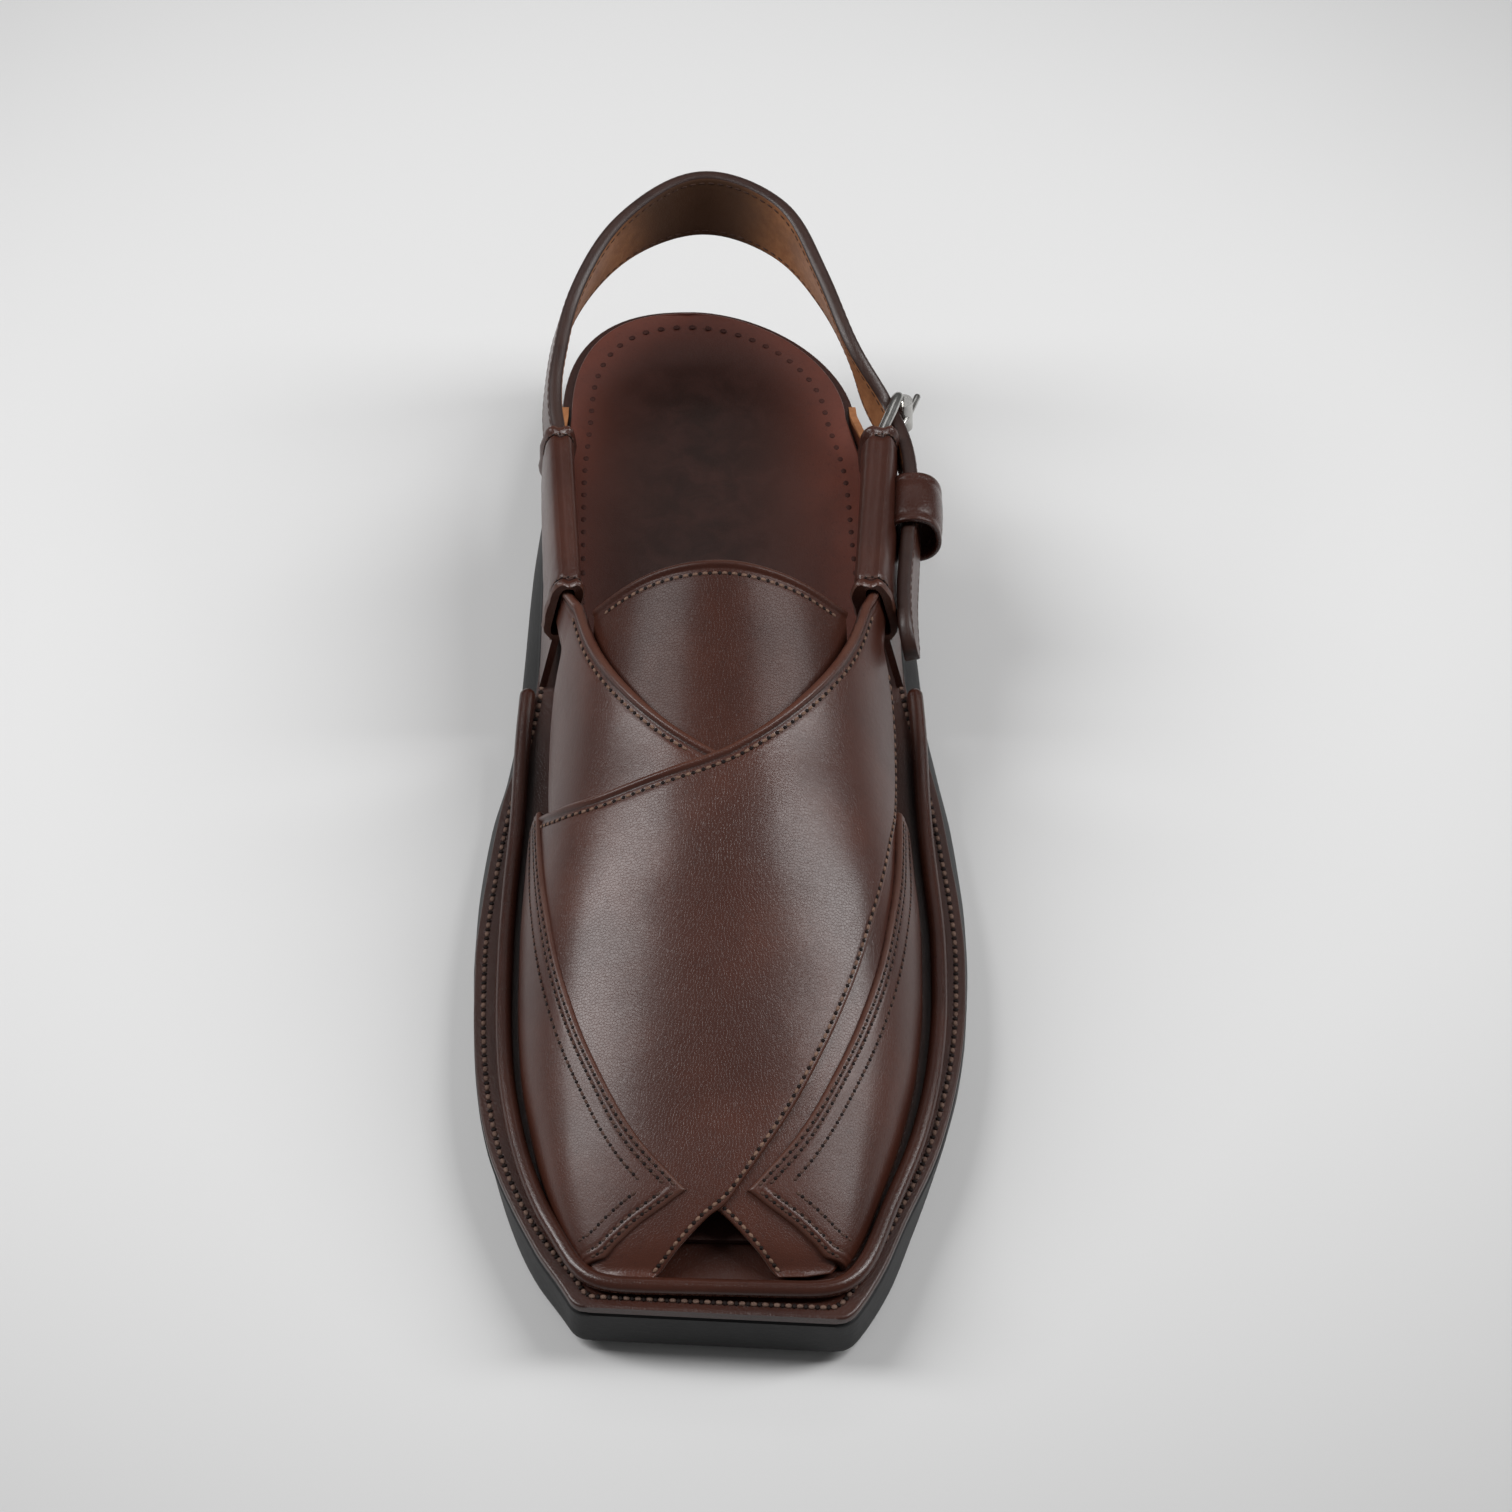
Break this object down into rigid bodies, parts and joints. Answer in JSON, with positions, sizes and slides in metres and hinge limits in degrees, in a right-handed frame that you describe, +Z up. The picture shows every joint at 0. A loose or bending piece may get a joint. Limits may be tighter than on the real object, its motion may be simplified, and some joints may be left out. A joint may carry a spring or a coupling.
{
  "type": "peshawari chappal",
  "caption": "Open leather sandal for the left foot: crossed vamp straps over a square toe, side tabs with sleeves, a buckled heel strap and a stitched rubber sole",
  "frame": {"origin": "middle of the heel block's tread, on the floor", "axes": "-Y towards the toe, +Y towards the heel, +X to the outer (buckle) side of the left foot, +Z up"},
  "size_m": [0.1133, 0.2911, 0.073],
  "materials": {
    "rubber": "matt dark rubber with light scuffs",
    "welt": "semi-gloss brown leather welt",
    "insole": "waxed reddish brown leather, darker at the heel",
    "vamp": "oiled dark brown leather with a fine grain",
    "strap": "dark brown leather, tan lining and cut edges",
    "nickel": "polished nickel"
  },
  "bodies": {
    "root": {"heel_block": "rubber", "outsole": "rubber", "midsole": "welt", "insole": "insole", "bead": "welt", "upper": "vamp", "tongue": "vamp", "tab_medial": "vamp", "tab_lateral": "vamp", "heel_strap": "strap", "buckle_strap": "strap", "buckle_frame": "nickel", "buckle_prong": "nickel", "keeper": "strap"}
  },
  "joints": []
}
